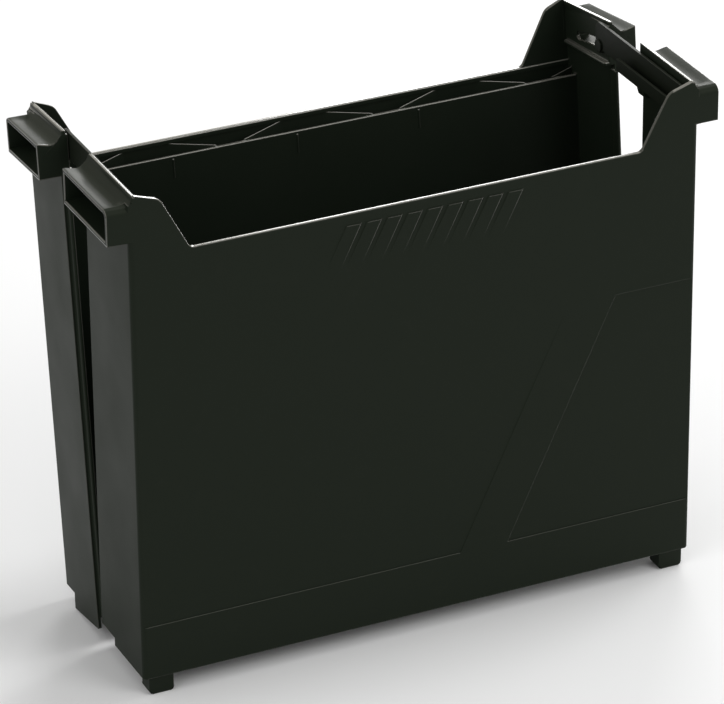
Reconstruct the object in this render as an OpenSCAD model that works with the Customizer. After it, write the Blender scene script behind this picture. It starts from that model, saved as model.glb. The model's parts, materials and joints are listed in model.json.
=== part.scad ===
// Portable file box: two tray halves hinged along the bottom, standing open in a V.
// The front half is upright. The rear half leans back about the hinge pins.
// X runs along the front wall, +Y points to the rear half, Z = 0 is the table.

/* [Box] */
// Width over the outer faces of the end walls
box_w = 368; // [348:1:390]
// Height of the straight middle of both long rims
rim_z = 291.5; // [270:0.5:300]
// Height of the top edge of the end walls
top_z = 331; // [322:0.5:345]
// Wall thickness
wall = 2.5; // [2:0.1:3]
// Radius of the upright outer corners
corner_r = 3; // [2:0.5:5]
// Depth of the front half, from its front face to its open edge
front_depth = 66; // [60:0.5:76]
// Depth of the rear half, from its open edge to its back face
rear_depth = 59.4; // [56:0.2:70]
// How far each rear end wall leans in from its open edge to the back
rear_taper = 3.2; // [1:0.1:3.4]

/* [Hinge] */
// Space between the open edges of the halves when the box is closed
shell_gap = 6; // [5:0.2:8]
// Angle at which the rear half leans back
open_angle = 6.2; // [4:0.1:7]
// Height of the hinge axis
hinge_z = 12; // [10.5:0.1:13]
// Diameter of the hinge pins
hinge_pin_d = 4; // [3:0.1:4.6]
// Outer diameter of the hinge knuckles
knuckle_d = 9; // [7.5:0.1:9.4]
// Length of one knuckle
knuckle_l = 20; // [12:1:30]
// Distance of each group of knuckles from the middle of the box
knuckle_x = 105; // [70:1:120]

/* [Grips] */
// How far a grip stands out from its end wall
grip_out = 13.5; // [11:0.5:18]
// Height of a grip from its underside to its flat lip
grip_h = 22.5; // [19:0.5:26]
// Radius of the hollow curve between the lip and the top edge
cove_r = 5.5; // [4.5:0.1:8]
// Radius of a grip's outer top corner
grip_corner_r = 5; // [3:0.5:7]

/* [Ears] */
// Width of an ear where it meets the rim
ear_w = 38; // [34:1:46]
// How far the ear's sloping edge runs sideways
ear_run = 18; // [12:1:22]
// How far the ear's upper edge falls towards the slope
ear_fall = 5.3; // [3:0.1:9]
// Radius of the ear's upper corner
ear_r = 8; // [4:1:12]
// Radius where the slope runs into the rim
rim_r = 4; // [2:1:10]

/* [Rear rim] */
// Distance from the back face to the inner face of the inner wall
rim_w = 12.4; // [10:0.1:15]
// How far the inner wall stays below the outer rim
rim_drop = 8; // [4:0.5:12]
// Depth of the zigzag ribs between the two walls
truss_h = 26; // [16:1:40]
// Thickness of the zigzag ribs
truss_t = 1.6; // [1.2:0.1:2]
// Distance from one zigzag to the next
truss_pitch = 104.5; // [90:0.5:112]

/* [Rails] */
// Height of a rail's underside above the underside of the grips
rail_up = 6.8; // [6.3:0.1:7.8]
// Height of a rail's upright web
rail_h = 17; // [15:0.5:17.5]
// Thickness of the rail's sheet
rail_t = 2; // [1.5:0.1:2]
// Width of a rail over web and lip
rail_w = 8; // [7:0.5:10]
// Height of the lip that the files hang on
rail_lip_h = 8; // [6:0.5:10]
// Distance from a rail's web to the inner face of the end wall
rail_back = 4.2; // [4.2:0.1:5]
// Diameter of the stud that slides in the rear half
stud_d = 5; // [4:0.1:5.4]
// Diameter of the flat heads of the stud
stud_head_d = 8; // [7:0.5:9]
// Space between the stud's head and the rear grip's end while the box stands open
stud_gap = 1; // [0.5:0.1:4]

/* [Feet] */
// Height of the front half's lower edge above the table
skirt_z = 12; // [10.5:0.5:13]
// Height of the underside of both floors
floor_z = 17; // [16.8:0.1:19]
// Width of a front foot
foot_w = 16; // [12:1:22]
// Depth of a front foot
foot_l = 12; // [9:1:18]
// Radius of a foot's lower edges
foot_r = 3; // [1:0.5:5]

/* [Front relief] */
// Depth of the sunk panels
panel_t = 0.5; // [0.3:0.1:1]
// Height of the panels' lower edge
panel_low_z = 47.5; // [30:0.5:60]
// Height of the panels' upper edge
panel_high_z = 200; // [150:1:230]
// How far the slanted bars stand out at their upper ends
bar_t = 0.7; // [0.4:0.1:1.2]
// Number of slanted bars
bar_count = 9; // [5:1:9]

/* [Hidden] */
$fn = 64;
eps = 0.01;

half_w = box_w / 2;
grip_x = half_w + grip_out;
cove_z = top_z - 0.8;
grip_top = cove_z - cove_r;
grip_low = grip_top - grip_h;
cove_x = half_w - wall + cove_r;
hinge_y = shell_gap / 2;
back_y = shell_gap + rear_depth;
back_half_w = half_w - rear_taper;
taper_angle = atan(rear_taper / rear_depth);

// The box is drawn from the front half's open edge and then moved, so that the origin
// lies under the middle of the standing box.
far_y = hinge_y + (back_y - hinge_y) * cos(open_angle) + (top_z - hinge_z) * sin(open_angle);
origin_y = (far_y - front_depth - bar_t) / 2;

// Places of the file rail on the right-hand side, and of its stud
rail_z = grip_low + rail_up;
web_x1 = half_w - wall - rail_back;
web_x0 = web_x1 - rail_t;
rail_x0 = web_x1 - rail_w;
rail_end_r = 5;
stud_z = rail_z + 2;
stud_y_open = shell_gap + wall + stud_gap + stud_head_d / 2;
stud_y = hinge_y + (stud_y_open - hinge_y + (stud_z - hinge_z) * sin(open_angle)) / cos(open_angle);
rail_reach = stud_y + rail_end_r;
plate_gap = 0.5;
plate_x0 = web_x1 + plate_gap;
plate_t = 2;
slot_clear = 0.25;
slot_r = norm([stud_y - hinge_y, stud_z - hinge_z]);
slot_shut = atan2(stud_z - hinge_z, stud_y - hinge_y);

// Points of an arc in a plane, from angle a0 to angle a1
function arc(cx, cy, r, a0, a1, n = 10) =
    [for (i = [0:n]) let (a = a0 + (a1 - a0) * i / n) [cx + r * cos(a), cy + r * sin(a)]];

// Points that round the corner b of the path a, b, c
function unit(v) = v / norm(v);
function rounded(a, b, c, r, n = 8) =
    let (u = unit(a - b), v = unit(c - b), half = acos(u * v) / 2,
         centre = b + unit(u + v) * r / sin(half),
         p = b + u * r / tan(half) - centre, q = b + v * r / tan(half) - centre,
         a0 = atan2(p.y, p.x), turn = atan2(q.y, q.x) - a0,
         a1 = a0 + (turn > 180 ? turn - 360 : turn < -180 ? turn + 360 : turn))
    arc(centre.x, centre.y, r, a0, a1, n);

// Right half of a long wall's outline, as [x, z]: rim, slope, ear, and down inside the end wall
function ear_points(half) =
    let (foot = [half_w - ear_w, rim_z], peak = [half_w - ear_w + ear_run, top_z - ear_fall],
         end = [half - 1.5 * wall, top_z])
    concat(rounded([0, rim_z], foot, peak, rim_r), rounded(foot, peak, end, ear_r), [end]);
function wall_points(half, low) = concat([[0, low], [0, rim_z]], ear_points(half),
    [[half - 1.5 * wall, grip_low + 1.5 * wall], [half - wall / 2, grip_low + 1.5 * wall],
     [half - wall / 2, low]]);

module mirrored() {
    children();
    mirror([1, 0, 0]) children();
}

// A profile drawn as [x, z] and run along Y from y0 to y1
module along_y(y0, y1) {
    translate([0, y1, 0]) rotate([90, 0, 0]) linear_extrude(y1 - y0) children();
}

// A profile drawn as [y, z] and run along X from x0 to x1
module along_x(x0, x1) {
    translate([x0, 0, 0]) rotate([90, 0, 90]) linear_extrude(x1 - x0) children();
}

module box(x0, x1, y0, y1, z0, z1) {
    translate([x0, y0, z0]) cube([x1 - x0, y1 - y0, z1 - z0]);
}

// Outline of a grip on the right, seen along Y: flat lip, hollow curve and top edge
module grip_outline() {
    polygon(concat([[half_w - wall, grip_low], [grip_x, grip_low], [grip_x, grip_top]],
        arc(cove_x, cove_z, cove_r, 270, 180),
        [[half_w - 2 * wall, cove_z], [half_w - 2 * wall, grip_low + wall],
         [half_w - wall, grip_low + wall]]));
}

// The hollow of a grip, open outwards and into the box. With a strip, the wall hangs down
// behind the hollow curve.
module grip_hollow(strip) {
    inside = half_w - 2 * wall - 1;
    strip_low = grip_top - 1.5;
    polygon(concat([[inside, grip_low + wall], [grip_x + 1, grip_low + wall],
                    [grip_x + 1, grip_top - wall]],
        arc(cove_x, cove_z, cove_r + wall, 270, strip ? 180 + acos(cove_r / (cove_r + wall)) : 180),
        strip ? [[half_w - wall, strip_low], [inside, strip_low]] : [[inside, cove_z]]));
}

// The part of a grip's corner that is rounded away
module corner_cut(y_end, turn, high, r) {
    along_x(half_w, grip_x + 2) difference() {
        translate([y_end - (turn > 0 ? 1 : r), high - r]) square([r + 1, r + 1]);
        translate([y_end + turn * r, high - r]) circle(r);
    }
}

// One hollow grip on the right-hand end wall; y_end is its rounded end
module grip(y_end, y_open, strip) {
    turn = sign(y_open - y_end);
    y0 = min(y_end, y_open);
    y1 = max(y_end, y_open);
    difference() {
        along_y(y0, y1) grip_outline();
        corner_cut(y_end, turn, grip_top, grip_corner_r);
        difference() {
            along_y(y0 + wall, y1 - wall) grip_hollow(strip);
            corner_cut(y_end + turn * wall, turn, grip_top - wall, grip_corner_r - wall + eps);
        }
    }
}

module long_wall(half, low, y0, y1) {
    mirrored() along_y(y0, y1) polygon(wall_points(half, low));
}

// What is cut away to round the upright corner b of the plan a, b, c
module corner_off(a, b, c, z0, z1) {
    side = [1, 0];
    end = [0, sign(b.y - a.y)];
    pts = rounded(a, b, c, corner_r);
    translate([0, 0, z0]) linear_extrude(z1 - z0)
        polygon(concat([pts[0] + side], pts, [pts[len(pts) - 1] + end, b + side + end]));
}

// Sunk panels of the front wall, each with its own slanted side
panel_lean = 72;
panel_left_x = 26;
panel_right_x = 58;
module panel_outline(left) {
    if (left)
        polygon([[-half_w - 1, panel_low_z], [panel_left_x, panel_low_z],
                 [panel_left_x + panel_lean, panel_high_z], [-half_w - 1, panel_high_z]]);
    else
        polygon([[panel_right_x, panel_low_z], [half_w + 1, panel_low_z],
                 [half_w + 1, panel_high_z], [panel_right_x + panel_lean, panel_high_z]]);
}

// The left panel's floor rises to the surface at its upper edge, the right one keeps its step.
module front_panels() {
    fade = 60;
    intersection() {
        along_y(-front_depth - 1, -front_depth + panel_t) panel_outline(true);
        along_x(-half_w - 2, half_w + 2)
            polygon([[-front_depth - 1, panel_low_z - 1], [-front_depth - 1, panel_high_z + 1],
                     [-front_depth, panel_high_z], [-front_depth + panel_t, panel_high_z - fade],
                     [-front_depth + panel_t, panel_low_z - 1]]);
    }
    along_y(-front_depth - 1, -front_depth + panel_t) panel_outline(false);
}

// A row of slanted bars that rise from the front wall towards their upper ends
bar_w = 9.8;
bar_h = 27;
bar_pitch = 13.15;
bar_lean = 13.4;
bar_first_x = -61.5;
bar_low_z = 257;
module front_bars() {
    intersection() {
        for (i = [0:bar_count - 1])
            along_y(-front_depth - bar_t, -front_depth + eps)
                translate([bar_first_x + i * bar_pitch, bar_low_z])
                    polygon([[0, 0], [bar_w, 0], [bar_w + bar_lean, bar_h], [bar_lean, bar_h]]);
        along_x(-half_w, half_w)
            polygon([[-front_depth, bar_low_z], [-front_depth - bar_t, bar_low_z + bar_h - 4],
                     [-front_depth - bar_t, bar_low_z + bar_h], [-front_depth + eps, bar_low_z + bar_h],
                     [-front_depth + eps, bar_low_z]]);
    }
}

// Brackets under and behind the right-hand file rail
module rail_brackets() {
    bracket_w = 10;
    for (y = [-front_depth + wall + 4, -2 * bracket_w])
        along_y(y, y + bracket_w)
            polygon([[half_w - wall + 1, grip_low], [half_w - wall + 1, grip_top + 1],
                     [web_x1, grip_top - 1], [web_x1, rail_z], [rail_x0 + 1.5, rail_z],
                     [rail_x0 + 3.5, grip_low]]);
}

// A foot with rounded lower edges
module foot(x0, x1, y0, y1) {
    along_y(y0, y1) polygon(concat([[x0, floor_z + 1]], arc(x0 + foot_r, foot_r, foot_r, 180, 270, 6),
        arc(x1 - foot_r, foot_r, foot_r, 270, 360, 6), [[x1, floor_z + 1]]));
}

// Feet of the front half; the pair near the hinge stands further in
foot_inset = 4;
module front_feet() {
    outer = half_w - foot_inset;
    inner = outer - 30;
    mirrored() {
        foot(outer - foot_w, outer, -front_depth + 1.5, -front_depth + 1.5 + foot_l);
        foot(inner - foot_w, inner, -8 - foot_l, -8);
    }
}

// Knuckles with their webs. The front ones reach down from the front floor, the rear ones
// from the rear floor. Both are drawn in the closed place.
module knuckle(x, front, bore) {
    turn = front ? -1 : 1;
    root = front ? -3 : shell_gap + 3;
    difference() {
        union() {
            translate([x, hinge_y, hinge_z]) rotate([0, 90, 0])
                cylinder(d = knuckle_d, h = knuckle_l);
            along_x(x, x + knuckle_l)
                polygon([[hinge_y, hinge_z - knuckle_d / 2], [root + turn * 14, floor_z],
                         [root + turn * 14, floor_z + wall / 2], [root, floor_z + wall / 2],
                         [root, floor_z - 1], [hinge_y, hinge_z + knuckle_d / 4]]);
        }
        translate([x - 1, hinge_y, hinge_z]) rotate([0, 90, 0])
            cylinder(d = bore, h = knuckle_l + 2);
    }
}

knuckle_play = 0.4;
running_fit = 0.1;
function knuckle_start(i) = knuckle_x + (i - 1.5) * (knuckle_l + knuckle_play);

module front_shell_blank() {
    long_wall(half_w, skirt_z, -front_depth, -front_depth + wall);
    mirrored() {
        // End wall, with its lower edge raised near the hinge
        along_x(half_w - wall, half_w)
            polygon([[-front_depth, skirt_z], [-20, skirt_z], [-20, floor_z], [0, floor_z],
                     [0, grip_low + wall], [-front_depth, grip_low + wall]]);
        grip(-front_depth, 0, true);
        rail_brackets();
        for (i = [0, 2]) knuckle(knuckle_start(i), true, hinge_pin_d);
    }
    box(-half_w + wall / 2, half_w - wall / 2, -front_depth + wall / 2, 0, floor_z, floor_z + wall);
    front_feet();
}

module front_shell() {
    color([0.09, 0.09, 0.09]) translate([0, -origin_y, 0]) {
        difference() {
            front_shell_blank();
            front_panels();
            mirrored() corner_off([half_w, 0], [half_w, -front_depth], [0, -front_depth],
                -1, grip_low);
        }
        front_bars();
    }
}

// Places what is drawn in the closed place of the rear half where it leans back
module leaning() {
    translate([0, hinge_y, hinge_z]) rotate([-open_angle, 0, 0])
        translate([0, -hinge_y, -hinge_z]) children();
}

// Turns the right-hand rear end wall in by its taper
module tapered() {
    translate([half_w, shell_gap, 0]) rotate([0, 0, taper_angle])
        translate([-half_w, -shell_gap, 0]) children();
}

// Zigzag ribs between the two walls of the rear rim
truss_flat = 19;
module truss() {
    y0 = back_y - rim_w + wall / 2;
    y1 = back_y - wall / 2;
    run = truss_pitch / 2 - truss_flat;
    difference() {
        intersection() {
            for (i = [-2:2], turn = [-1, 1]) {
                x0 = i * truss_pitch - 4 + turn * truss_flat / 2;
                x1 = x0 + turn * run;
                translate([0, 0, rim_z - truss_h]) linear_extrude(truss_h)
                    polygon([[x0 - truss_t / 2, y1], [x0 + truss_t / 2, y1],
                             [x1 + truss_t / 2, y0], [x1 - truss_t / 2, y0]]);
            }
            box(-back_half_w + wall / 2, back_half_w - wall / 2, shell_gap, back_y, 0, rim_z);
        }
        // The ribs' tops run down from the outer rim to the inner wall.
        along_x(-half_w, half_w)
            polygon([[y0 - wall, rim_z - rim_drop], [y1 + wall, rim_z - 1], [y1 + wall, rim_z + 9],
                     [y0 - wall, rim_z + 9]]);
    }
}

// The plate with the curved slot that the rail's stud slides in, on the right
module slot_plate() {
    difference() {
        box(plate_x0, plate_x0 + plate_t, shell_gap, back_y - 1, grip_low, grip_top + 3);
        translate([plate_x0 - 1, hinge_y, hinge_z]) rotate([90, 0, 90]) linear_extrude(plate_t + 2)
            slot_outline(slot_shut, slot_shut + open_angle);
    }
    box(plate_x0 - 3, half_w - wall, shell_gap, back_y - 4, grip_low, grip_low + wall);
}

// The slot as seen along X, drawn about the hinge axis
module slot_outline(a0, a1) {
    w = stud_d / 2 + slot_clear;
    difference() {
        circle(slot_r + w, $fn = 360);
        circle(slot_r - w, $fn = 360);
        rotate(a0 - 180) translate([-2 * slot_r, 0]) square([4 * slot_r, 2 * slot_r]);
        rotate(a1) translate([-2 * slot_r, 0]) square([4 * slot_r, 2 * slot_r]);
    }
    for (a = [a0, a1]) rotate(a) translate([slot_r, 0]) circle(w);
}

// Feet that reach the table when the rear half leans back
heel_y = 34;
heel_w = 14;
heel_l = 10;
heel_inset = 36;
module heel_feet() {
    outer = half_w - heel_inset;
    mirrored() difference() {
        leaning() box(outer - heel_w, outer, heel_y, heel_y + heel_l, 0, floor_z + 1);
        box(outer - heel_w - 1, outer + 1, 0, 2 * back_y, -hinge_z, 0);
    }
}

// Ledge that runs along the inside of the rear rim and on below the ears
module rim_ledge() {
    box(-back_half_w + wall / 2, back_half_w - wall / 2, back_y - wall - 1, back_y - wall / 2,
        rim_z - 3, rim_z - 0.3);
}

// Short upright marks on the inner wall below its lip
module lip_ribs() {
    for (x = [-1, 0, 1])
        box(x * 82 - 13, x * 82 - 12, back_y - rim_w - 0.6, back_y - rim_w + 1,
            rim_z - rim_drop - 14, rim_z - rim_drop - 2);
}

// The lower edge of the rear end walls slopes down and ends just above the table.
skirt_clear = 0.6;
skirt_end_y = back_y - 14;
skirt_end_z = hinge_z + (skirt_clear - hinge_z + (skirt_end_y - hinge_y) * sin(open_angle))
    / cos(open_angle);

module rear_shell_closed() {
    heel_z = floor_z - 0.5;
    tongue_y = shell_gap / 4;
    long_wall(back_half_w, heel_z - 0.5, back_y - wall, back_y);
    box(-back_half_w + wall / 2, back_half_w - wall / 2, back_y - rim_w, back_y - rim_w + wall,
        floor_z + wall / 2, rim_z - rim_drop);
    truss();
    rim_ledge();
    lip_ribs();
    mirrored() {
        intersection() {
            tapered() {
                along_x(half_w - wall, half_w)
                    polygon([[shell_gap - 1, skirt_z - 2], [skirt_end_y, skirt_end_z],
                             [skirt_end_y - 1, heel_z], [back_y + 1, heel_z],
                             [back_y + 1, grip_low + wall], [shell_gap - 1, grip_low + wall]]);
                grip(back_y + 0.1, shell_gap - eps, false);
            }
            box(0, grip_x + 5, shell_gap, back_y, 0, top_z + 5);
        }
        slot_plate();
        // Tongue that reaches into the space between the halves
        box(half_w - 2 * wall + 0.6, half_w - wall + 0.6, tongue_y, shell_gap + wall,
            floor_z + wall / 2, grip_low - wall);
        knuckle(knuckle_start(1), false, hinge_pin_d + running_fit);
    }
    translate([0, 0, floor_z]) linear_extrude(wall) rear_plan(wall / 2);
}

// Plan of the rear half, drawn in from its outer faces by an amount
module rear_plan(inset) {
    polygon([[-half_w + inset, shell_gap], [half_w - inset, shell_gap],
             [back_half_w - inset, back_y - inset], [-back_half_w + inset, back_y - inset]]);
}

module rear_shell() {
    color([0.09, 0.09, 0.09]) translate([0, -origin_y, 0]) {
        leaning() rear_shell_closed();
        heel_feet();
    }
}

// File rail on the right: web, seat and lip, with a hole for its stud
rail_front_y = -front_depth + wall;
module rail_right_shape() {
    lip_end = 12;
    difference() {
        union() {
            along_x(web_x0, web_x1)
                polygon(concat([[rail_front_y, rail_z], [stud_y, rail_z], [stud_y, stud_z],
                                [rail_reach, stud_z]],
                    arc(rail_reach - rail_end_r, rail_z + rail_h - rail_end_r, rail_end_r, 0, 90),
                    [[rail_front_y, rail_z + rail_h]]));
            along_x(web_x0, web_x1) translate([stud_y, stud_z]) circle(rail_end_r);
            along_y(rail_front_y, lip_end)
                polygon([[rail_x0, rail_z], [web_x0 + eps, rail_z], [web_x0 + eps, rail_z + rail_t],
                         [rail_x0 + rail_t, rail_z + rail_t], [rail_x0 + rail_t, rail_z + rail_lip_h],
                         [rail_x0, rail_z + rail_lip_h]]);
        }
        translate([web_x0 - 1, stud_y, stud_z]) rotate([0, 90, 0])
            cylinder(d = stud_d, h = rail_t + 2);
    }
}

module rail_right() {
    color([0.12, 0.12, 0.12]) translate([0, -origin_y, 0]) rail_right_shape();
}

module rail_left() {
    color([0.12, 0.12, 0.12]) mirror([1, 0, 0]) translate([0, -origin_y, 0]) rail_right_shape();
}

// Stud with a flat head on each side of the rail and the slotted plate
module stud_shape() {
    head_t = 1.2;
    play = 0.3;
    grip_l = rail_t + plate_gap + plate_t + play;
    translate([web_x0 - head_t, stud_y - origin_y, stud_z]) rotate([0, 90, 0]) {
        cylinder(d = stud_head_d, h = head_t);
        cylinder(d = stud_d, h = head_t + grip_l);
        translate([0, 0, head_t + grip_l]) cylinder(d = stud_head_d, h = head_t);
    }
}

module stud_right() {
    color([0.2, 0.2, 0.2]) stud_shape();
}

module stud_left() {
    color([0.2, 0.2, 0.2]) mirror([1, 0, 0]) stud_shape();
}

// Pin through the three knuckles of the right-hand hinge
module hinge_pin_shape() {
    translate([knuckle_start(0), hinge_y - origin_y, hinge_z]) rotate([0, 90, 0])
        cylinder(d = hinge_pin_d, h = 3 * knuckle_l + 2 * knuckle_play);
}

module hinge_pin_right() {
    color([0.65, 0.65, 0.66]) hinge_pin_shape();
}

module hinge_pin_left() {
    color([0.65, 0.65, 0.66]) mirror([1, 0, 0]) hinge_pin_shape();
}

front_shell();
rear_shell();
rail_left();
rail_right();
stud_left();
stud_right();
hinge_pin_left();
hinge_pin_right();
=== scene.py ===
"""Looks of the portable file box: black moulded halves, smooth rails and drawn-wire hinge pins."""

import json
import logging
import math
from dataclasses import dataclass
from enum import Enum
from typing import Any

import bmesh
import bpy
from mathutils import Matrix, Vector
from mathutils.bvhtree import BVHTree
from mathutils.kdtree import KDTree

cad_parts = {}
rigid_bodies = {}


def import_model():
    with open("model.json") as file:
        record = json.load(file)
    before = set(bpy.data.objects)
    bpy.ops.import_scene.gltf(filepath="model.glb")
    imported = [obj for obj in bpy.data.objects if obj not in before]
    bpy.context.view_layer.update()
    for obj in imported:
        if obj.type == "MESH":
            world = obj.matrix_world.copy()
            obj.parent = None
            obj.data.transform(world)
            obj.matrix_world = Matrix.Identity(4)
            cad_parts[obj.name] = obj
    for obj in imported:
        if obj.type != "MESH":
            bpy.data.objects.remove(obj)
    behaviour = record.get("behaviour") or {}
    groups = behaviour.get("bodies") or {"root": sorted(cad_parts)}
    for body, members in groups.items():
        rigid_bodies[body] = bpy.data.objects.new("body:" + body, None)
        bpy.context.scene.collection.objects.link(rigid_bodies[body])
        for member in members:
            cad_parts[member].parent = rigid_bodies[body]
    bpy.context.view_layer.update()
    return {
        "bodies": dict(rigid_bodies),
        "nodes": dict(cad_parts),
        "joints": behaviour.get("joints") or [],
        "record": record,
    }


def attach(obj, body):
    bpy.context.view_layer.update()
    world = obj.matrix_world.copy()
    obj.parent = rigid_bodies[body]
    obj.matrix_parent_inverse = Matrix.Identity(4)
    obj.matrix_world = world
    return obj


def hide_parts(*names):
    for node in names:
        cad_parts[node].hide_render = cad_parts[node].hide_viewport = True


logging.basicConfig(level=logging.INFO, format="%(levelname)s %(message)s")
LOG = logging.getLogger("file_box")

Face = bmesh.types.BMFace
Material = bpy.types.Material
Node = bpy.types.Node
Tree = bpy.types.NodeTree
Rgba = tuple[float, float, float, float]

# The face attribute that says how far the grain is worn away and how much highlight is painted on
# the face, and its value on polished rims, on the mouths of the grips, on ordinary outer edges and
# on shallow relief. The lighter colour that it mixes in is worn grey and a painted highlight in one.
WEAR_AND_HIGHLIGHT = "wear_and_highlight"
RIM_MARK = 1.0
GRIP_MARK = 0.6
EDGE_MARK = 0.36
RELIEF_MARK = 0.3

# Corners closer than this become one, and points along an edge are at most this far apart.
MERGE_MM = 0.05
MARK_MM = 0.6

# The share of the gap between two edges that one round may take, and how far a rounded corner may
# stand off the unrounded surface, as a share of the full round.
ROUND_SHARE = 0.4
STAND_OFF = 0.35

# The material numbers of the plain faces and of the rounds while a piece is being rounded.
PLAIN = 0
ROUND = 1

# Neighbours look opposite ways below the first cosine and lie in one plane above the second. Faces
# that a round has turned over are mended in a few passes, because one mend can uncover another.
OPPOSITE_COS = -0.9
SAME_PLANE_COS = 0.999
MEND_PASSES = 4

# How much more a large face bends the shading at its corners than a small one does.
FLAT_PULL = 80

# Polypropylene and its like bend light by this much.
PLASTIC_IOR = 1.49


def linear(hex_code: str) -> Rgba:
    """Turn an sRGB colour into Blender's linear one.

    Args:
        hex_code: six hex digits, as a colour card gives them.

    Returns:
        The linear colour with full opacity.
    """
    parts = [int(hex_code[i : i + 2], 16) / 255 for i in (0, 2, 4)]
    rgb = [p / 12.92 if p <= 0.04045 else ((p + 0.055) / 1.055) ** 2.4 for p in parts]
    return (rgb[0], rgb[1], rgb[2], 1.0)


def add_node(tree: Tree, kind: str, inputs: dict[str, Any] | None = None, **settings: Any) -> Node:
    """Add one shader node, set it up and wire it.

    Args:
        tree: the node tree of a material or of the world.
        kind: the node's type name without the leading words ShaderNode.
        inputs: socket name or number to a value, or to a socket that feeds it.
        settings: the node's own properties.

    Returns:
        The new node.
    """
    node = tree.nodes.new("ShaderNode" + kind)
    for name, value in settings.items():
        setattr(node, name, value)
    for name, value in (inputs or {}).items():
        if isinstance(value, bpy.types.NodeSocket):
            tree.links.new(value, node.inputs[name])
        else:
            node.inputs[name].default_value = value
    return node


def empty_material(name: str) -> Material:
    """Make a material that has no nodes yet.

    Args:
        name: the material's name.

    Returns:
        The new material.
    """
    material = bpy.data.materials.new(name)
    material.use_nodes = True
    material.node_tree.nodes.clear()
    return material


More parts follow.
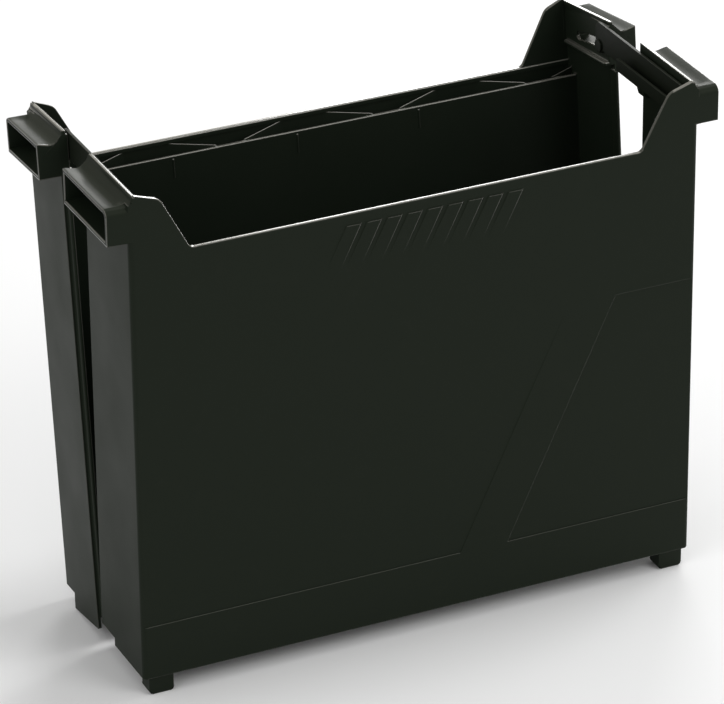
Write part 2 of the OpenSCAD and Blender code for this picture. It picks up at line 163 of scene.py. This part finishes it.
@dataclass(frozen=True)
class MouldedPlastic:
    """Black polypropylene from a spark-eroded mould: a satin grain that scatters most of its gloss.

    The grain is about half a millimetre across, with finer pores in it. A faint unevenness of some
    centimetres lies under it, as plastic leaves it that has flowed far in a thin wall, and so do
    slightly paler scuffs of about a centimetre. Rounded edges are polished and a little greyed by
    handling, so they shine more; the lighter grey on them, strongest on the rims, is also a painted
    highlight, so they read as thin light lines.
    """

    name: str
    colour: str = "191f18"
    scuff_colour: str = "20241e"
    # Lighter grey of worn, polished edges, which is also a painted highlight on them, full on the
    # rims.
    edge_wear_and_highlight_colour: str = "605f59"
    gloss_tint: str = "fffef0"
    specular: float = 0.08
    roughness: tuple[float, float] = (0.40, 0.50)
    edge_roughness: float = 0.2
    coat_roughness: float = 0.16
    grain_mm: float = 0.55
    pores_per_m: float = 2200.0
    grain_height_mm: float = 0.016
    grain_strength: float = 0.55
    flow_mm: float = 60.0
    flow_span: tuple[float, float] = (0.3, 0.7)
    scuffs_per_m: float = 90.0
    scuff_span: tuple[float, float] = (0.58, 0.74)
    scuff_share: float = 0.35

    def make(self) -> Material:
        """Build the material.

        Returns:
            The material, named after the finish.
        """
        material = empty_material(self.name)
        tree = material.node_tree
        place = add_node(tree, "TexCoord").outputs["Object"]
        # The face attribute with the worn edges and the painted highlight on them.
        wear_and_highlight = add_node(tree, "Attribute", attribute_name=WEAR_AND_HIGHLIGHT).outputs["Fac"]
        shader = add_node(
            tree,
            "BsdfPrincipled",
            {
                "Base Color": self.colour_of(tree, place, wear_and_highlight),
                "Roughness": self.roughness_of(tree, place, wear_and_highlight),
                "IOR": PLASTIC_IOR,
                "Specular IOR Level": self.specular,
                "Specular Tint": linear(self.gloss_tint),
                "Coat Weight": wear_and_highlight,
                "Coat Roughness": self.coat_roughness,
                "Normal": self.grain_of(tree, place),
            },
        )
        add_node(tree, "OutputMaterial", {"Surface": shader.outputs["BSDF"]})
        return material

    def colour_of(
        self, tree: Tree, place: bpy.types.NodeSocket, wear_and_highlight: bpy.types.NodeSocket
    ) -> bpy.types.NodeSocket:
        """Mix black, paler scuffs and grey edges, whose grey is worn edge and painted highlight in
        one.

        Args:
            tree: the material's node tree.
            place: the socket with the place on the object.
            wear_and_highlight: the socket that says how worn the face is and how much highlight is
                painted on it.

        Returns:
            The socket with the colour.
        """
        scuff = add_node(
            tree,
            "TexNoise",
            {
                "Vector": place,
                "Scale": self.scuffs_per_m,
                "Detail": 5.0,
                "Roughness": 0.7,
                "Distortion": 0.6,
            },
        )
        scuffed = add_node(
            tree,
            "MapRange",
            {
                "Value": scuff.outputs["Fac"],
                "From Min": self.scuff_span[0],
                "From Max": self.scuff_span[1],
                "To Max": self.scuff_share,
            },
        )
        tint = add_node(
            tree,
            "Mix",
            {0: scuffed.outputs["Result"], 6: linear(self.colour), 7: linear(self.scuff_colour)},
            data_type="RGBA",
        )
        # The edges' grey mixed in here is worn plastic and a painted highlight in one.
        worn_and_highlighted = add_node(
            tree,
            "Mix",
            {0: wear_and_highlight, 6: tint.outputs[2], 7: linear(self.edge_wear_and_highlight_colour)},
            data_type="RGBA",
        )
        return worn_and_highlighted.outputs[2]

    def roughness_of(
        self, tree: Tree, place: bpy.types.NodeSocket, wear_and_highlight: bpy.types.NodeSocket
    ) -> bpy.types.NodeSocket:
        """Vary the roughness with the plastic's flow, and lower it on worn edges.

        Args:
            tree: the material's node tree.
            place: the socket with the place on the object.
            wear_and_highlight: the socket that says how worn the face is and how much highlight is
                painted on it.

        Returns:
            The socket with the roughness.
        """
        flow = add_node(
            tree,
            "TexNoise",
            {"Vector": place, "Scale": 1000 / self.flow_mm, "Detail": 3.0, "Roughness": 0.55},
        )
        satin = add_node(
            tree,
            "MapRange",
            {
                "Value": flow.outputs["Fac"],
                "From Min": self.flow_span[0],
                "From Max": self.flow_span[1],
                "To Min": self.roughness[0],
                "To Max": self.roughness[1],
            },
        )
        smoothed = add_node(tree, "MapRange", {"Value": wear_and_highlight, "From Max": EDGE_MARK})
        polished = add_node(
            tree,
            "Mix",
            {0: smoothed.outputs["Result"], 2: satin.outputs["Result"], 3: self.edge_roughness},
            data_type="FLOAT",
        )
        return polished.outputs[0]

    def grain_of(self, tree: Tree, place: bpy.types.NodeSocket) -> bpy.types.NodeSocket:
        """Raise the mould's grain, with finer pores on it.

        Args:
            tree: the material's node tree.
            place: the socket with the place on the object.

        Returns:
            The socket with the bent normal.
        """
        grain = add_node(
            tree,
            "TexVoronoi",
            {"Vector": place, "Scale": 1000 / self.grain_mm, "Randomness": 1.0},
            feature="SMOOTH_F1",
        )
        pores = add_node(
            tree,
            "TexNoise",
            {"Vector": place, "Scale": self.pores_per_m, "Detail": 2.0, "Roughness": 0.6},
        )
        height = add_node(
            tree,
            "Math",
            {0: grain.outputs["Distance"], 1: pores.outputs["Fac"]},
            operation="ADD",
        )
        bump = add_node(
            tree,
            "Bump",
            {
                "Height": height.outputs[0],
                "Strength": self.grain_strength,
                "Distance": self.grain_height_mm / 1000,
            },
        )
        return bump.outputs["Normal"]


@dataclass(frozen=True)
class ExtrudedPlastic:
    """Smooth black plastic of the rails and studs, with faint lines along the rail's length.

    The lines lie about two thirds of a millimetre apart, and the gloss changes over patches of one
    or two centimetres, so that a long bar doesn't shine evenly.
    """

    name: str
    colour: str = "171b15"
    specular: float = 0.08
    roughness: tuple[float, float] = (0.34, 0.50)
    lines_per_m: float = 1500.0
    line_stretch: tuple[float, float, float] = (1.0, 0.02, 1.0)
    line_strength: float = 0.4
    line_height_mm: float = 0.01
    patches_per_m: float = 60.0

    def make(self) -> Material:
        """Build the material.

        Returns:
            The material, named after the finish.
        """
        material = empty_material(self.name)
        tree = material.node_tree
        place = add_node(tree, "TexCoord").outputs["Object"]
        drawn = add_node(tree, "Mapping", {"Vector": place, "Scale": self.line_stretch})
        lines = add_node(
            tree,
            "TexNoise",
            {"Vector": drawn.outputs["Vector"], "Scale": self.lines_per_m, "Detail": 2.0},
        )
        patches = add_node(
            tree, "TexNoise", {"Vector": place, "Scale": self.patches_per_m, "Detail": 3.0}
        )
        gloss = add_node(
            tree,
            "MapRange",
            {
                "Value": patches.outputs["Fac"],
                "To Min": self.roughness[0],
                "To Max": self.roughness[1],
            },
        )
        bump = add_node(
            tree,
            "Bump",
            {
                "Height": lines.outputs["Fac"],
                "Strength": self.line_strength,
                "Distance": self.line_height_mm / 1000,
            },
        )
        shader = add_node(
            tree,
            "BsdfPrincipled",
            {
                "Base Color": linear(self.colour),
                "Roughness": gloss.outputs["Result"],
                "IOR": PLASTIC_IOR,
                "Specular IOR Level": self.specular,
                "Normal": bump.outputs["Normal"],
            },
        )
        add_node(tree, "OutputMaterial", {"Surface": shader.outputs["BSDF"]})
        return material


@dataclass(frozen=True)
class DrawnWire:
    """Bright steel wire of the hinge pins, with fine lines that the drawing die left along it."""

    name: str
    colour: str = "b9bbbd"
    roughness: tuple[float, float] = (0.22, 0.42)
    lines_per_m: float = 3000.0
    line_stretch: tuple[float, float, float] = (0.03, 1.0, 1.0)
    line_strength: float = 0.3
    line_height_mm: float = 0.01

    def make(self) -> Material:
        """Build the material.

        Returns:
            The material, named after the finish.
        """
        material = empty_material(self.name)
        tree = material.node_tree
        place = add_node(tree, "TexCoord").outputs["Object"]
        drawn = add_node(tree, "Mapping", {"Vector": place, "Scale": self.line_stretch})
        lines = add_node(
            tree,
            "TexNoise",
            {"Vector": drawn.outputs["Vector"], "Scale": self.lines_per_m, "Detail": 2.0},
        )
        gloss = add_node(
            tree,
            "MapRange",
            {
                "Value": lines.outputs["Fac"],
                "To Min": self.roughness[0],
                "To Max": self.roughness[1],
            },
        )
        bump = add_node(
            tree,
            "Bump",
            {
                "Height": lines.outputs["Fac"],
                "Strength": self.line_strength,
                "Distance": self.line_height_mm / 1000,
            },
        )
        shader = add_node(
            tree,
            "BsdfPrincipled",
            {
                "Base Color": linear(self.colour),
                "Metallic": 1.0,
                "Roughness": gloss.outputs["Result"],
                "Normal": bump.outputs["Normal"],
            },
        )
        add_node(tree, "OutputMaterial", {"Surface": shader.outputs["BSDF"]})
        return material


class Finish(Enum):
    """The box's finishes, one for each kind of part."""

    FRONT = MouldedPlastic("box_plastic")
    REAR = MouldedPlastic("box_plastic_rear")
    RAIL = ExtrudedPlastic("rail_plastic")
    STUD = ExtrudedPlastic("stud_plastic")
    PIN = DrawnWire("pin_steel")


@dataclass
class RoundedPart:
    """One CAD node with its razor edges rounded, as a mould, a die or a thumb leaves them.

    The node's own mesh stays as it is. Its copy is merged, and its sharp edges get a small round,
    narrower where another edge runs close by, as along a shallow step.
    """

    node: str
    piece: str
    body: str
    finish: Finish
    edge_mm: float
    rounds: int = 2
    sharp_deg: float = 30.0

    def build(self, frame: dict[str, Any]) -> None:
        """Make the rounded piece, dress it and let it stand for its node.
        """
        piece = self.merged_copy(frame["nodes"][self.node])
        self.shape(piece)
        outer = self.weigh_edges(piece)
        self.round_edges(piece)
        self.mark_wear_and_highlight(piece, outer)
        piece.data.materials.clear()
        piece.data.materials.append(self.finish.value.make())
        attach(piece, self.body)
        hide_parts(self.node)
        LOG.info("%s: %d faces, %s", self.piece, len(piece.data.polygons), self.finish.value.name)

    def merged_copy(self, source: bpy.types.Object) -> bpy.types.Object:
        """Copy the node's mesh and join its loose triangles.

        Args:
            source: the CAD node.

        Returns:
            The new object, which is active and the only one selected.
        """
        bpy.ops.object.select_all(action="DESELECT")
        piece = bpy.data.objects.new(self.piece, source.data.copy())
        bpy.context.collection.objects.link(piece)
        piece.select_set(True)
        bpy.context.view_layer.objects.active = piece
        bpy.ops.object.mode_set(mode="EDIT")
        bpy.ops.mesh.select_all(action="SELECT")
        bpy.ops.mesh.remove_doubles(threshold=MERGE_MM / 1000)
        bpy.ops.object.mode_set(mode="OBJECT")
        bpy.ops.object.shade_smooth_by_angle(angle=math.radians(self.sharp_deg))
        return piece

    def shape(self, piece: bpy.types.Object) -> None:
        """Change nothing more: a plain part has no form of its own beyond its node."""

    def wear_and_highlight_of(self, centre: Vector, normal: Vector, rounded: bool) -> float:
        """Say how worn one face is and how much highlight is painted on it.

        Args:
            centre: the face's middle in the frame.
            normal: its outward direction.
            rounded: True on the round of an outer edge.

        Returns:
            The face's value of the attribute for worn edges and painted highlight.
        """
        # Every outer round gets the edge share: worn grey that is also a painted highlight.
        return EDGE_MARK if rounded else 0.0

    def weigh_edges(self, piece: bpy.types.Object) -> KDTree:
        """Give each sharp edge the share of the full round that it has room for.

        Args:
            piece: the merged copy.

        Returns:
            The points along the sharp edges, with number 1 on an outer edge and 0 on an inner one.
        """
        mesh = bmesh.new()
        mesh.from_mesh(piece.data)
        weight = mesh.edges.layers.float.new("bevel_weight_edge")
        limit = math.radians(self.sharp_deg)
        sharp = [e for e in mesh.edges if len(e.link_faces) == 2 and e.calc_face_angle() > limit]
        full = self.edge_mm / 1000
        marks = [(point, edge) for edge in sharp for point in points_along(edge)]
        near = point_tree([(point, number) for number, (point, _) in enumerate(marks)])
        for edge in sharp:
            edge[weight] = 1.0
        for point, edge in marks:
            for _, number, gap in near.find_range(point, full / ROUND_SHARE):
                other = marks[number][1]
                if other is not edge and not set(edge.verts) & set(other.verts):
                    edge[weight] = min(edge[weight], ROUND_SHARE * gap / full)
        outer = point_tree([(point, int(edge.is_convex)) for point, edge in marks])
        mesh.to_mesh(piece.data)
        mesh.free()
        return outer

    def round_edges(self, piece: bpy.types.Object) -> None:
        """Round the weighed edges and give the new faces the number of the rounds.

        Args:
            piece: the merged copy with its weights.
        """
        piece.data.materials.clear()
        for name in ("before_rounding", "rounded_edge"):
            piece.data.materials.append(bpy.data.materials.new(name))
        skin = BVHTree.FromPolygons(
            [v.co.copy() for v in piece.data.vertices],
            [tuple(f.vertices) for f in piece.data.polygons],
        )
        bevel = piece.modifiers.new("edge_round", "BEVEL")
        bevel.limit_method = "WEIGHT"
        bevel.width = self.edge_mm / 1000
        bevel.segments = self.rounds
        bevel.use_clamp_overlap = False
        bevel.material = ROUND
        bpy.ops.object.modifier_apply(modifier=bevel.name)
        self.pull_in(piece, skin)
        self.mend_flat_faces(piece)
        flat = piece.modifiers.new("flat_faces_stay_flat", "WEIGHTED_NORMAL")
        flat.mode = "FACE_AREA"
        flat.weight = FLAT_PULL
        bpy.ops.object.modifier_apply(modifier=flat.name)

    def pull_in(self, piece: bpy.types.Object, skin: BVHTree) -> None:
        """Set corners that a round has thrown off the surface back on it.

        Args:
            piece: the rounded piece.
            skin: its surface before the rounding.
        """
        reach = STAND_OFF * self.edge_mm / 1000
        thrown = 0
        for vertex in piece.data.vertices:
            place, _, _, gap = skin.find_nearest(vertex.co)
            if gap > reach:
                vertex.co = place
                thrown += 1
        LOG.info("%s: %d corners set back", self.piece, thrown)

    def mend_flat_faces(self, piece: bpy.types.Object) -> None:
        """Retriangulate flat faces that the rounds on both their sides have turned over.

        Args:
            piece: the rounded piece.
        """
        mesh = bmesh.new()
        mesh.from_mesh(piece.data)
        for _ in range(MEND_PASSES):
            turned = turned_faces(mesh)
            if not turned:
                break
            patch = set(turned)
            for face in turned:
                patch.update(flat_neighbours(face))
            ordered = [face for face in mesh.faces if face in patch]
            joined = bmesh.ops.dissolve_faces(mesh, faces=ordered, use_verts=False)["region"]
            bmesh.ops.triangulate(mesh, faces=joined)
        LOG.info("%s: %d faces still look turned", self.piece, len(turned_faces(mesh)))
        mesh.to_mesh(piece.data)
        mesh.free()

    def mark_wear_and_highlight(self, piece: bpy.types.Object, outer: KDTree) -> None:
        """Note on every face how worn it is and how much highlight is painted on it.

        Args:
            piece: the rounded piece.
            outer: what weigh_edges returned.
        """
        mark = piece.data.attributes.new(WEAR_AND_HIGHLIGHT, "FLOAT", "FACE")
        for face, value in zip(piece.data.polygons, mark.data):
            rounded = face.material_index == ROUND and outer.find(face.center)[1] == 1
            value.value = self.wear_and_highlight_of(face.center, face.normal, rounded)
            face.material_index = PLAIN
        for material in list(piece.data.materials):
            bpy.data.materials.remove(material)


@dataclass
class BoxHalf(RoundedPart):
    """One moulded half, with the scooped lips of its two grips and its polished rims, which carry a
    painted highlight.

    Lengths are in metres. Heights and depths of the lips are those of the half while the box is
    closed, with y = 0 at the open edge of the front half; lean and taper turn them to where they
    are. The steps of the end cuts and of the fade are counted in corners, from the lip's end.
    """

    open_y: float = 0.0
    end_y: float = -0.066
    lean_deg: float = 0.0
    taper_deg: float = 0.0
    half_width: float = 0.184
    hinge: tuple[float, float, float] = (0.0, 0.003, 0.012)
    origin_y: float = 0.0163934

    lip_z: float = 0.3247
    grip_out: float = 0.0135
    cove_in: float = 0.0026
    slack: float = 0.0002
    corner: float = 0.005
    cuts: tuple[float, ...] = (0.0015, 0.0048, 0.0066, 0.0084, 0.0102, 0.0120)
    end_cuts: tuple[float, ...] = (1.0, 1.6, 2.2)
    scoop: float = 0.0016
    scoop_bias: float = 1.55
    scoop_fade: float = 1.2

    rim_z: float = 0.2885
    rim_x: float = 0.1805
    rim_slope: float = 0.35
    grip_x: float = 0.19
    relief_x: float = 0.1836
    side_slope: float = 0.15

    def shape(self, piece: bpy.types.Object) -> None:
        """Scoop the lips of both grips.

        Args:
            piece: the merged copy, which is active.
        """
        inward = math.copysign(self.corner, self.open_y - self.end_y)
        for side in (1, -1):
            place = self.closed_place(side)
            for cut in self.cuts:
                self.cut_lip(piece, place, Vector((side * (self.half_width + cut), 0, 0)), (1, 0, 0))
            for step in self.end_cuts:
                self.cut_lip(piece, place, Vector((0, self.end_y + step * inward, 0)), (0, 1, 0))
            self.lower_lip(piece, place, side)

    def closed_place(self, side: int) -> Matrix:
        """Work out how the closed, untapered half is turned to where it is.

        Args:
            side: 1 for the right-hand end, -1 for the left-hand one.

        Returns:
            The matrix from the closed place to the frame.
        """
        hinge = Matrix.Translation(self.hinge)
        corner = Matrix.Translation((side * self.half_width, self.open_y, 0.0))
        lean = Matrix.Rotation(-math.radians(self.lean_deg), 4, "X")
        taper = Matrix.Rotation(side * math.radians(self.taper_deg), 4, "Z")
        shift = Matrix.Translation((0.0, -self.origin_y, 0.0))
        return shift @ hinge @ lean @ hinge.inverted() @ corner @ taper @ corner.inverted()

    def on_lip(self, point: Vector) -> bool:
        """Say whether a point is on the top of a grip's lip, its rounded end or its cove.

        Args:
            point: the point in the closed place.

        Returns:
            True on the lip, on its rounded end and on the cove above it.
        """
        out = abs(point.x) - self.half_width
        return -self.cove_in < out < self.grip_out + self.slack and point.z > self.lip_z - self.slack

    def cut_lip(
        self, piece: bpy.types.Object, place: Matrix, point: Vector, normal: tuple[int, int, int]
    ) -> None:
        """Cut the faces on top of the grips along a plane.

        Args:
            piece: the merged copy.
            place: the matrix from the closed place to the frame.
            point: a point of the plane in the closed place. One off the middle keeps the cut to
                the grip on its own side.
            normal: the plane's normal there.
        """
        back = place.inverted()
        for face in piece.data.polygons:
            corners = [back @ piece.data.vertices[i].co for i in face.vertices]
            face.select = all(self.on_lip(c) and c.x * (point.x or c.x) > 0 for c in corners)
        bpy.ops.object.mode_set(mode="EDIT")
        bpy.ops.mesh.select_mode(type="FACE")
        bpy.ops.mesh.bisect(plane_co=place @ point, plane_no=place.to_3x3() @ Vector(normal))
        bpy.ops.object.mode_set(mode="OBJECT")

    def lower_lip(self, piece: bpy.types.Object, place: Matrix, side: int) -> None:
        """Press the lip down into a shallow scoop that fades towards its rounded end.

        Args:
            piece: the cut copy.
            place: the matrix from the closed place to the frame.
            side: 1 for the right-hand end, -1 for the left-hand one.
        """
        back = place.inverted()
        for vertex in piece.data.vertices:
            point = back @ vertex.co
            out = side * point.x - self.half_width
            if out <= 0.0 or not self.on_lip(point):
                continue
            across = max(0.0, (self.grip_out - out) / self.grip_out)
            along = abs(point.y - self.end_y) / self.corner - 1.0
            fade = min(1.0, max(0.0, along / self.scoop_fade))
            point.z -= self.scoop * fade * math.sin(math.pi * across**self.scoop_bias)
            vertex.co = place @ point

    def wear_and_highlight_of(self, centre: Vector, normal: Vector, rounded: bool) -> float:
        """Polish the rims most and paint the most highlight on them, then on the grips' mouths, then
        on the other outer edges.

        Rims that lean to the left get less painted highlight than the others, relief edges that look
        left get no painted highlight, and neither do those of the rear half that don't look right,
        while right-facing relief edges get more: this is painted light from the right and painted
        shade on the left. The photograph shows them so.

        Args:
            centre: the face's middle in the frame.
            normal: its outward direction.
            rounded: True on the round of an outer edge.

        Returns:
            The face's value of the attribute for worn edges and painted highlight.
        """
        # Upward rim faces get the full painted highlight, less where they lean left, away from the
        # light.
        upward = normal.z > self.rim_slope and centre.z > self.rim_z
        if upward and abs(centre.x) < self.rim_x:
            return RIM_MARK if normal.x > -self.rim_slope else EDGE_MARK
        if not rounded:
            return 0.0
        if abs(centre.x) > self.grip_x:
            return GRIP_MARK
        if abs(centre.x) > self.relief_x:
            return EDGE_MARK
        # Relief edges facing left get no painted highlight, those facing right get more: painted
        # light from the right.
        rear = self.open_y > 0
        if rear or normal.x < -self.side_slope:
            return EDGE_MARK if normal.x > self.side_slope else 0.0
        return GRIP_MARK if normal.x > self.side_slope else RELIEF_MARK


def points_along(edge: bmesh.types.BMEdge) -> list[Vector]:
    """Set points along an edge, its ends left out.

    Args:
        edge: any edge of a mesh in metres.

    Returns:
        Points at most MARK_MM apart, at least one.
    """
    start, end = (vert.co for vert in edge.verts)
    parts = max(2, math.ceil(1000 * (end - start).length / MARK_MM))
    return [start.lerp(end, i / parts) for i in range(1, parts)]


def point_tree(points: list[tuple[Vector, int]]) -> KDTree:
    """Put numbered points where the nearest of them is found fast.

    Args:
        points: each point and its number.

    Returns:
        The tree, ready for searches.
    """
    tree = KDTree(len(points))
    for point, number in points:
        tree.insert(point, number)
    tree.balance()
    return tree


def plain_neighbours(face: Face) -> list[Face]:
    """List the faces outside the rounds that share an edge with a face.

    Args:
        face: a face of a rounded mesh.

    Returns:
        The neighbours, one of them for each edge that it shares.
    """
    return [
        other
        for edge in face.edges
        for other in edge.link_faces
        if other is not face and other.material_index == PLAIN
    ]


def flat_neighbours(face: Face) -> list[Face]:
    """List the plain faces that share an edge with a face and lie in its plane.

    Args:
        face: a face of a rounded mesh.

    Returns:
        The flat neighbours, turned over or not.
    """
    return [o for o in plain_neighbours(face) if abs(o.normal.dot(face.normal)) > SAME_PLANE_COS]


def turned_faces(mesh: bmesh.types.BMesh) -> list[Face]:
    """List the plain faces that look the other way from a larger plain neighbour.

    Args:
        mesh: a rounded mesh.

    Returns:
        The faces that a round may have turned over.
    """
    mesh.normal_update()
    return [
        face
        for face in mesh.faces
        if face.material_index == PLAIN
        and any(
            other.normal.dot(face.normal) < OPPOSITE_COS and other.calc_area() > face.calc_area()
            for other in plain_neighbours(face)
        )
    ]


@dataclass(frozen=True)
class Lamp:
    """One soft lamp: where it hangs, its width and height in metres, and its power in watts."""

    name: str
    place: tuple[float, float, float]
    size: tuple[float, float]
    power: float


@dataclass
class Studio:
    """Pale floor, even sky, soft lamps and the camera.

    Lengths are in metres and angles in radians. The camera looks at its aim from azimuth,
    elevation and distance, and roll and slide then turn and move it in its own plane.
    """

    floor_size: float = 14.0
    floor_colour: str = "f4f4f4"
    floor_roughness: float = 0.9
    sky_colour: str = "ffffff"
    mirrored_sky_colour: str = "fffcf0"
    sky_level: float = 0.52
    seen_sky_level: float = 1.0
    lamps: tuple[Lamp, ...] = (
        Lamp("lamp_left", (-2.2, -0.6, 1.6), (1.6, 1.6), 12.0),
        Lamp("lamp_front", (1.4, -2.4, 2.3), (1.6, 1.6), 25.0),
        Lamp("lamp_top", (0.95, 0.2, 2.35), (0.7, 1.8), 20.0),
        Lamp("lamp_back", (1.4, 2.3, 1.15), (1.0, 0.9), 26.0),
        Lamp("lamp_side", (2.5, -0.1, 0.2), (0.5, 0.3), 18.0),
    )
    lamp_aim: tuple[float, float, float] = (0.0, 0.0, 0.15)
    aim: tuple[float, float, float] = (0.0, -0.01639, 0.15)
    azimuth: float = -0.4318
    elevation: float = 0.4766
    roll: float = -0.0105
    distance: float = 2.975
    slide: tuple[float, float] = (-0.0076265, 0.0091532)
    focal_px: float = 4892.9
    width_px: int = 724
    sensor_mm: float = 36.0
    clip_end: float = 50.0

    def build(self) -> None:
        """Make the floor, lamps, world and camera."""
        self.make_floor()
        self.make_lamps()
        self.make_world()
        self.make_camera()

    def make_floor(self) -> None:
        """Lay a wide floor that the camera sees white and that still takes the box's shadow."""
        bpy.ops.mesh.primitive_plane_add(size=self.floor_size, location=(0.0, 0.0, 0.0))
        floor = bpy.context.active_object
        floor.name = "studio_floor"
        material = empty_material("studio_floor")
        tree = material.node_tree
        paper = add_node(
            tree,
            "BsdfPrincipled",
            {"Base Color": linear(self.floor_colour), "Roughness": self.floor_roughness},
        )
        add_node(tree, "OutputMaterial", {"Surface": paper.outputs["BSDF"]})
        floor.data.materials.append(material)
        LOG.info("floor laid")

    def make_lamps(self) -> None:
        """Hang the soft lamps, each turned to the middle of the box."""
        target = Vector(self.lamp_aim)
        for lamp in self.lamps:
            data = bpy.data.lights.new(lamp.name, "AREA")
            data.shape = "RECTANGLE"
            data.size, data.size_y = lamp.size
            data.energy = lamp.power
            hung = bpy.data.objects.new(lamp.name, data)
            hung.location = lamp.place
            hung.rotation_euler = (target - hung.location).to_track_quat("-Z", "Y").to_euler()
            bpy.context.collection.objects.link(hung)
        LOG.info("%d lamps hung", len(self.lamps))

    def make_world(self) -> None:
        """Fill the shadows with an even pale sky that the camera sees as white."""
        world = bpy.data.worlds.new("studio_world")
        bpy.context.scene.world = world
        world.use_nodes = True
        tree = world.node_tree
        tree.nodes.clear()
        path = add_node(tree, "LightPath")
        seen = add_node(
            tree,
            "Math",
            {0: path.outputs["Is Camera Ray"], 1: path.outputs["Is Glossy Ray"]},
            operation="MAXIMUM",
        )
        through = add_node(
            tree,
            "Math",
            {0: seen.outputs[0], 1: path.outputs["Is Transmission Ray"]},
            operation="MAXIMUM",
        )
        level = add_node(
            tree,
            "MapRange",
            {
                "Value": through.outputs[0],
                "To Min": self.sky_level,
                "To Max": self.seen_sky_level,
            },
        )
        shade = add_node(
            tree,
            "Mix",
            {
                0: path.outputs["Is Glossy Ray"],
                6: linear(self.sky_colour),
                7: linear(self.mirrored_sky_colour),
            },
            data_type="RGBA",
        )
        sky = add_node(
            tree,
            "Background",
            {"Color": shade.outputs[2], "Strength": level.outputs["Result"]},
        )
        add_node(tree, "OutputWorld", {"Surface": sky.outputs["Background"]})

    def make_camera(self) -> None:
        """Put the camera where the photograph was taken from."""
        ca, sa = math.cos(self.azimuth), math.sin(self.azimuth)
        ce, se = math.cos(self.elevation), math.sin(self.elevation)
        cr, sr = math.cos(self.roll), math.sin(self.roll)
        back = Vector((sa * ce, -ca * ce, se))
        right = Vector((ca, sa, 0.0))
        up = back.cross(right)
        right, up = right * cr + up * sr, up * cr - right * sr
        place = (
            Vector(self.aim) + back * self.distance + right * self.slide[0] + up * self.slide[1]
        )
        data = bpy.data.cameras.new("photo_camera")
        data.sensor_fit = "HORIZONTAL"
        data.sensor_width = self.sensor_mm
        data.lens = self.focal_px * self.sensor_mm / self.width_px
        data.clip_end = self.clip_end
        camera = bpy.data.objects.new("photo_camera", data)
        axes = Matrix((right, up, back)).transposed()
        camera.matrix_world = Matrix.Translation(place) @ axes.to_4x4()
        bpy.context.collection.objects.link(camera)
        bpy.context.scene.camera = camera
        bpy.context.scene.view_settings.view_transform = "Standard"
        LOG.info("camera at %s", tuple(round(v, 4) for v in place))


def main() -> None:
    """Dress the box and set the stage."""
    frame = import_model()
    bpy.ops.object.select_all(action="DESELECT")
    Studio().build()
    BoxHalf("front_shell", "front_moulding", "front_half", Finish.FRONT, edge_mm=0.8).build(frame)
    BoxHalf(
        "rear_shell",
        "rear_moulding",
        "rear_half",
        Finish.REAR,
        edge_mm=0.8,
        open_y=0.006,
        end_y=0.0655,
        lean_deg=6.2,
        taper_deg=3.083,
        rim_z=0.25,
    ).build(frame)
    for side in ("left", "right"):
        for node, piece, finish, edge_mm in (
            ("rail", "file_rail", Finish.RAIL, 0.35),
            ("stud", "rail_stud", Finish.STUD, 0.25),
            ("hinge_pin", "hinge_wire", Finish.PIN, 0.3),
        ):
            part = RoundedPart(f"{node}_{side}", f"{piece}_{side}", "front_half", finish, edge_mm)
            part.build(frame)


if __name__ == "__main__":
    main()
